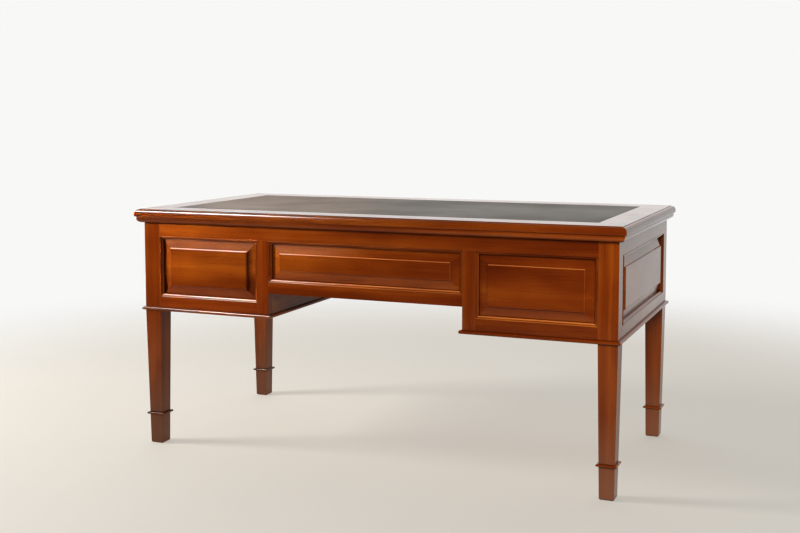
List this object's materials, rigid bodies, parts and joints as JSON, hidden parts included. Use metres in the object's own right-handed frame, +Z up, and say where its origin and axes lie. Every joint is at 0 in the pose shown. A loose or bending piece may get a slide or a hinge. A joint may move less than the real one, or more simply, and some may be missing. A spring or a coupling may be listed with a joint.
{
  "type": "writing desk",
  "caption": "Panelled writing desk with a leather-inset top, drawer pedestals beside a kneehole, brass bail pulls, and square tapered legs with collars.",
  "frame": {"origin": "on the floor under the middle of the desk", "axes": "+X along the desk to the right seen from the panelled front, +Y towards the sitter and the drawers, +Z up"},
  "size_m": [1.6, 0.8, 0.775],
  "materials": {
    "mahogany": "satin lacquer",
    "lining_wood": "matt, planed",
    "leather": "smooth satin",
    "brass": "polished",
    "steel": "zinc plated"
  },
  "bodies": {
    "carcase": {"back_centre_rail": "mahogany", "back_left_drawer_rails": "mahogany", "back_right_drawer_rails": "mahogany", "back_stiles": "mahogany", "back_top_rail": "mahogany", "base_beads": "mahogany", "drawer_kickers": "lining_wood", "drawer_runners": "lining_wood", "drawer_stops": "lining_wood", "end_panel_mouldings": "mahogany", "front_bottom_rails": "mahogany", "front_centre_panel": "mahogany", "front_centre_rail": "mahogany", "front_left_panel": "mahogany", "front_panel_mouldings": "mahogany", "front_right_panel": "mahogany", "front_stiles": "mahogany", "front_top_rail": "mahogany", "left_end_panel": "mahogany", "left_end_rails": "mahogany", "left_inner_side": "mahogany", "leg_back_left": "mahogany", "leg_back_right": "mahogany", "leg_collars": "mahogany", "leg_front_left": "mahogany", "leg_front_right": "mahogany", "pedestal_bottoms": "lining_wood", "right_end_panel": "mahogany", "right_end_rails": "mahogany", "right_inner_side": "mahogany", "top_border_back": "mahogany", "top_border_front": "mahogany", "top_border_left": "mahogany", "top_border_right": "mahogany", "top_core_board": "lining_wood", "top_edge_moulding": "mahogany", "top_fixing_blocks": "lining_wood", "top_fixing_screws": "steel", "writing_leather": "leather"},
    "drawer_centre": {"drawer_centre_front": "mahogany", "drawer_centre_box": "lining_wood", "drawer_centre_pull_mounts": "brass"},
    "drawer_upper_left": {"drawer_upper_left_front": "mahogany", "drawer_upper_left_box": "lining_wood", "drawer_upper_left_pull_mounts": "brass"},
    "drawer_lower_left": {"drawer_lower_left_front": "mahogany", "drawer_lower_left_box": "lining_wood", "drawer_lower_left_pull_mounts": "brass"},
    "drawer_upper_right": {"drawer_upper_right_front": "mahogany", "drawer_upper_right_box": "lining_wood", "drawer_upper_right_pull_mounts": "brass"},
    "drawer_lower_right": {"drawer_lower_right_front": "mahogany", "drawer_lower_right_box": "lining_wood", "drawer_lower_right_pull_mounts": "brass"},
    "drawer_centre_bail_left": {"drawer_centre_bail_left": "brass"},
    "drawer_centre_bail_right": {"drawer_centre_bail_right": "brass"},
    "drawer_upper_left_bail": {"drawer_upper_left_bail": "brass"},
    "drawer_lower_left_bail": {"drawer_lower_left_bail": "brass"},
    "drawer_upper_right_bail": {"drawer_upper_right_bail": "brass"},
    "drawer_lower_right_bail": {"drawer_lower_right_bail": "brass"}
  },
  "joints": [
    {"name": "drawer_centre_slide", "type": "slide", "parent": "carcase", "child": "drawer_centre", "axis": [0, 1, 0], "range_m": [0, 0.35]},
    {"name": "drawer_upper_left_slide", "type": "slide", "parent": "carcase", "child": "drawer_upper_left", "axis": [0, 1, 0], "range_m": [0, 0.45]},
    {"name": "drawer_lower_left_slide", "type": "slide", "parent": "carcase", "child": "drawer_lower_left", "axis": [0, 1, 0], "range_m": [0, 0.45]},
    {"name": "drawer_upper_right_slide", "type": "slide", "parent": "carcase", "child": "drawer_upper_right", "axis": [0, 1, 0], "range_m": [0, 0.45]},
    {"name": "drawer_lower_right_slide", "type": "slide", "parent": "carcase", "child": "drawer_lower_right", "axis": [0, 1, 0], "range_m": [0, 0.45]},
    {"name": "drawer_centre_bail_left_swing", "type": "hinge", "parent": "drawer_centre", "child": "drawer_centre_bail_left", "pos_m": [-0.17, 0.393, 0.664], "axis": [1, 0, 0], "range_deg": [-15, 100]},
    {"name": "drawer_centre_bail_right_swing", "type": "hinge", "parent": "drawer_centre", "child": "drawer_centre_bail_right", "pos_m": [0.17, 0.393, 0.664], "axis": [1, 0, 0], "range_deg": [-15, 100]},
    {"name": "drawer_upper_left_bail_swing", "type": "hinge", "parent": "drawer_upper_left", "child": "drawer_upper_left_bail", "pos_m": [-0.53875, 0.393, 0.65525], "axis": [1, 0, 0], "range_deg": [-15, 100]},
    {"name": "drawer_lower_left_bail_swing", "type": "hinge", "parent": "drawer_lower_left", "child": "drawer_lower_left_bail", "pos_m": [-0.53875, 0.393, 0.52775], "axis": [1, 0, 0], "range_deg": [-15, 100]},
    {"name": "drawer_upper_right_bail_swing", "type": "hinge", "parent": "drawer_upper_right", "child": "drawer_upper_right_bail", "pos_m": [0.53875, 0.393, 0.65525], "axis": [1, 0, 0], "range_deg": [-15, 100]},
    {"name": "drawer_lower_right_bail_swing", "type": "hinge", "parent": "drawer_lower_right", "child": "drawer_lower_right_bail", "pos_m": [0.53875, 0.393, 0.52775], "axis": [1, 0, 0], "range_deg": [-15, 100]}
  ]
}
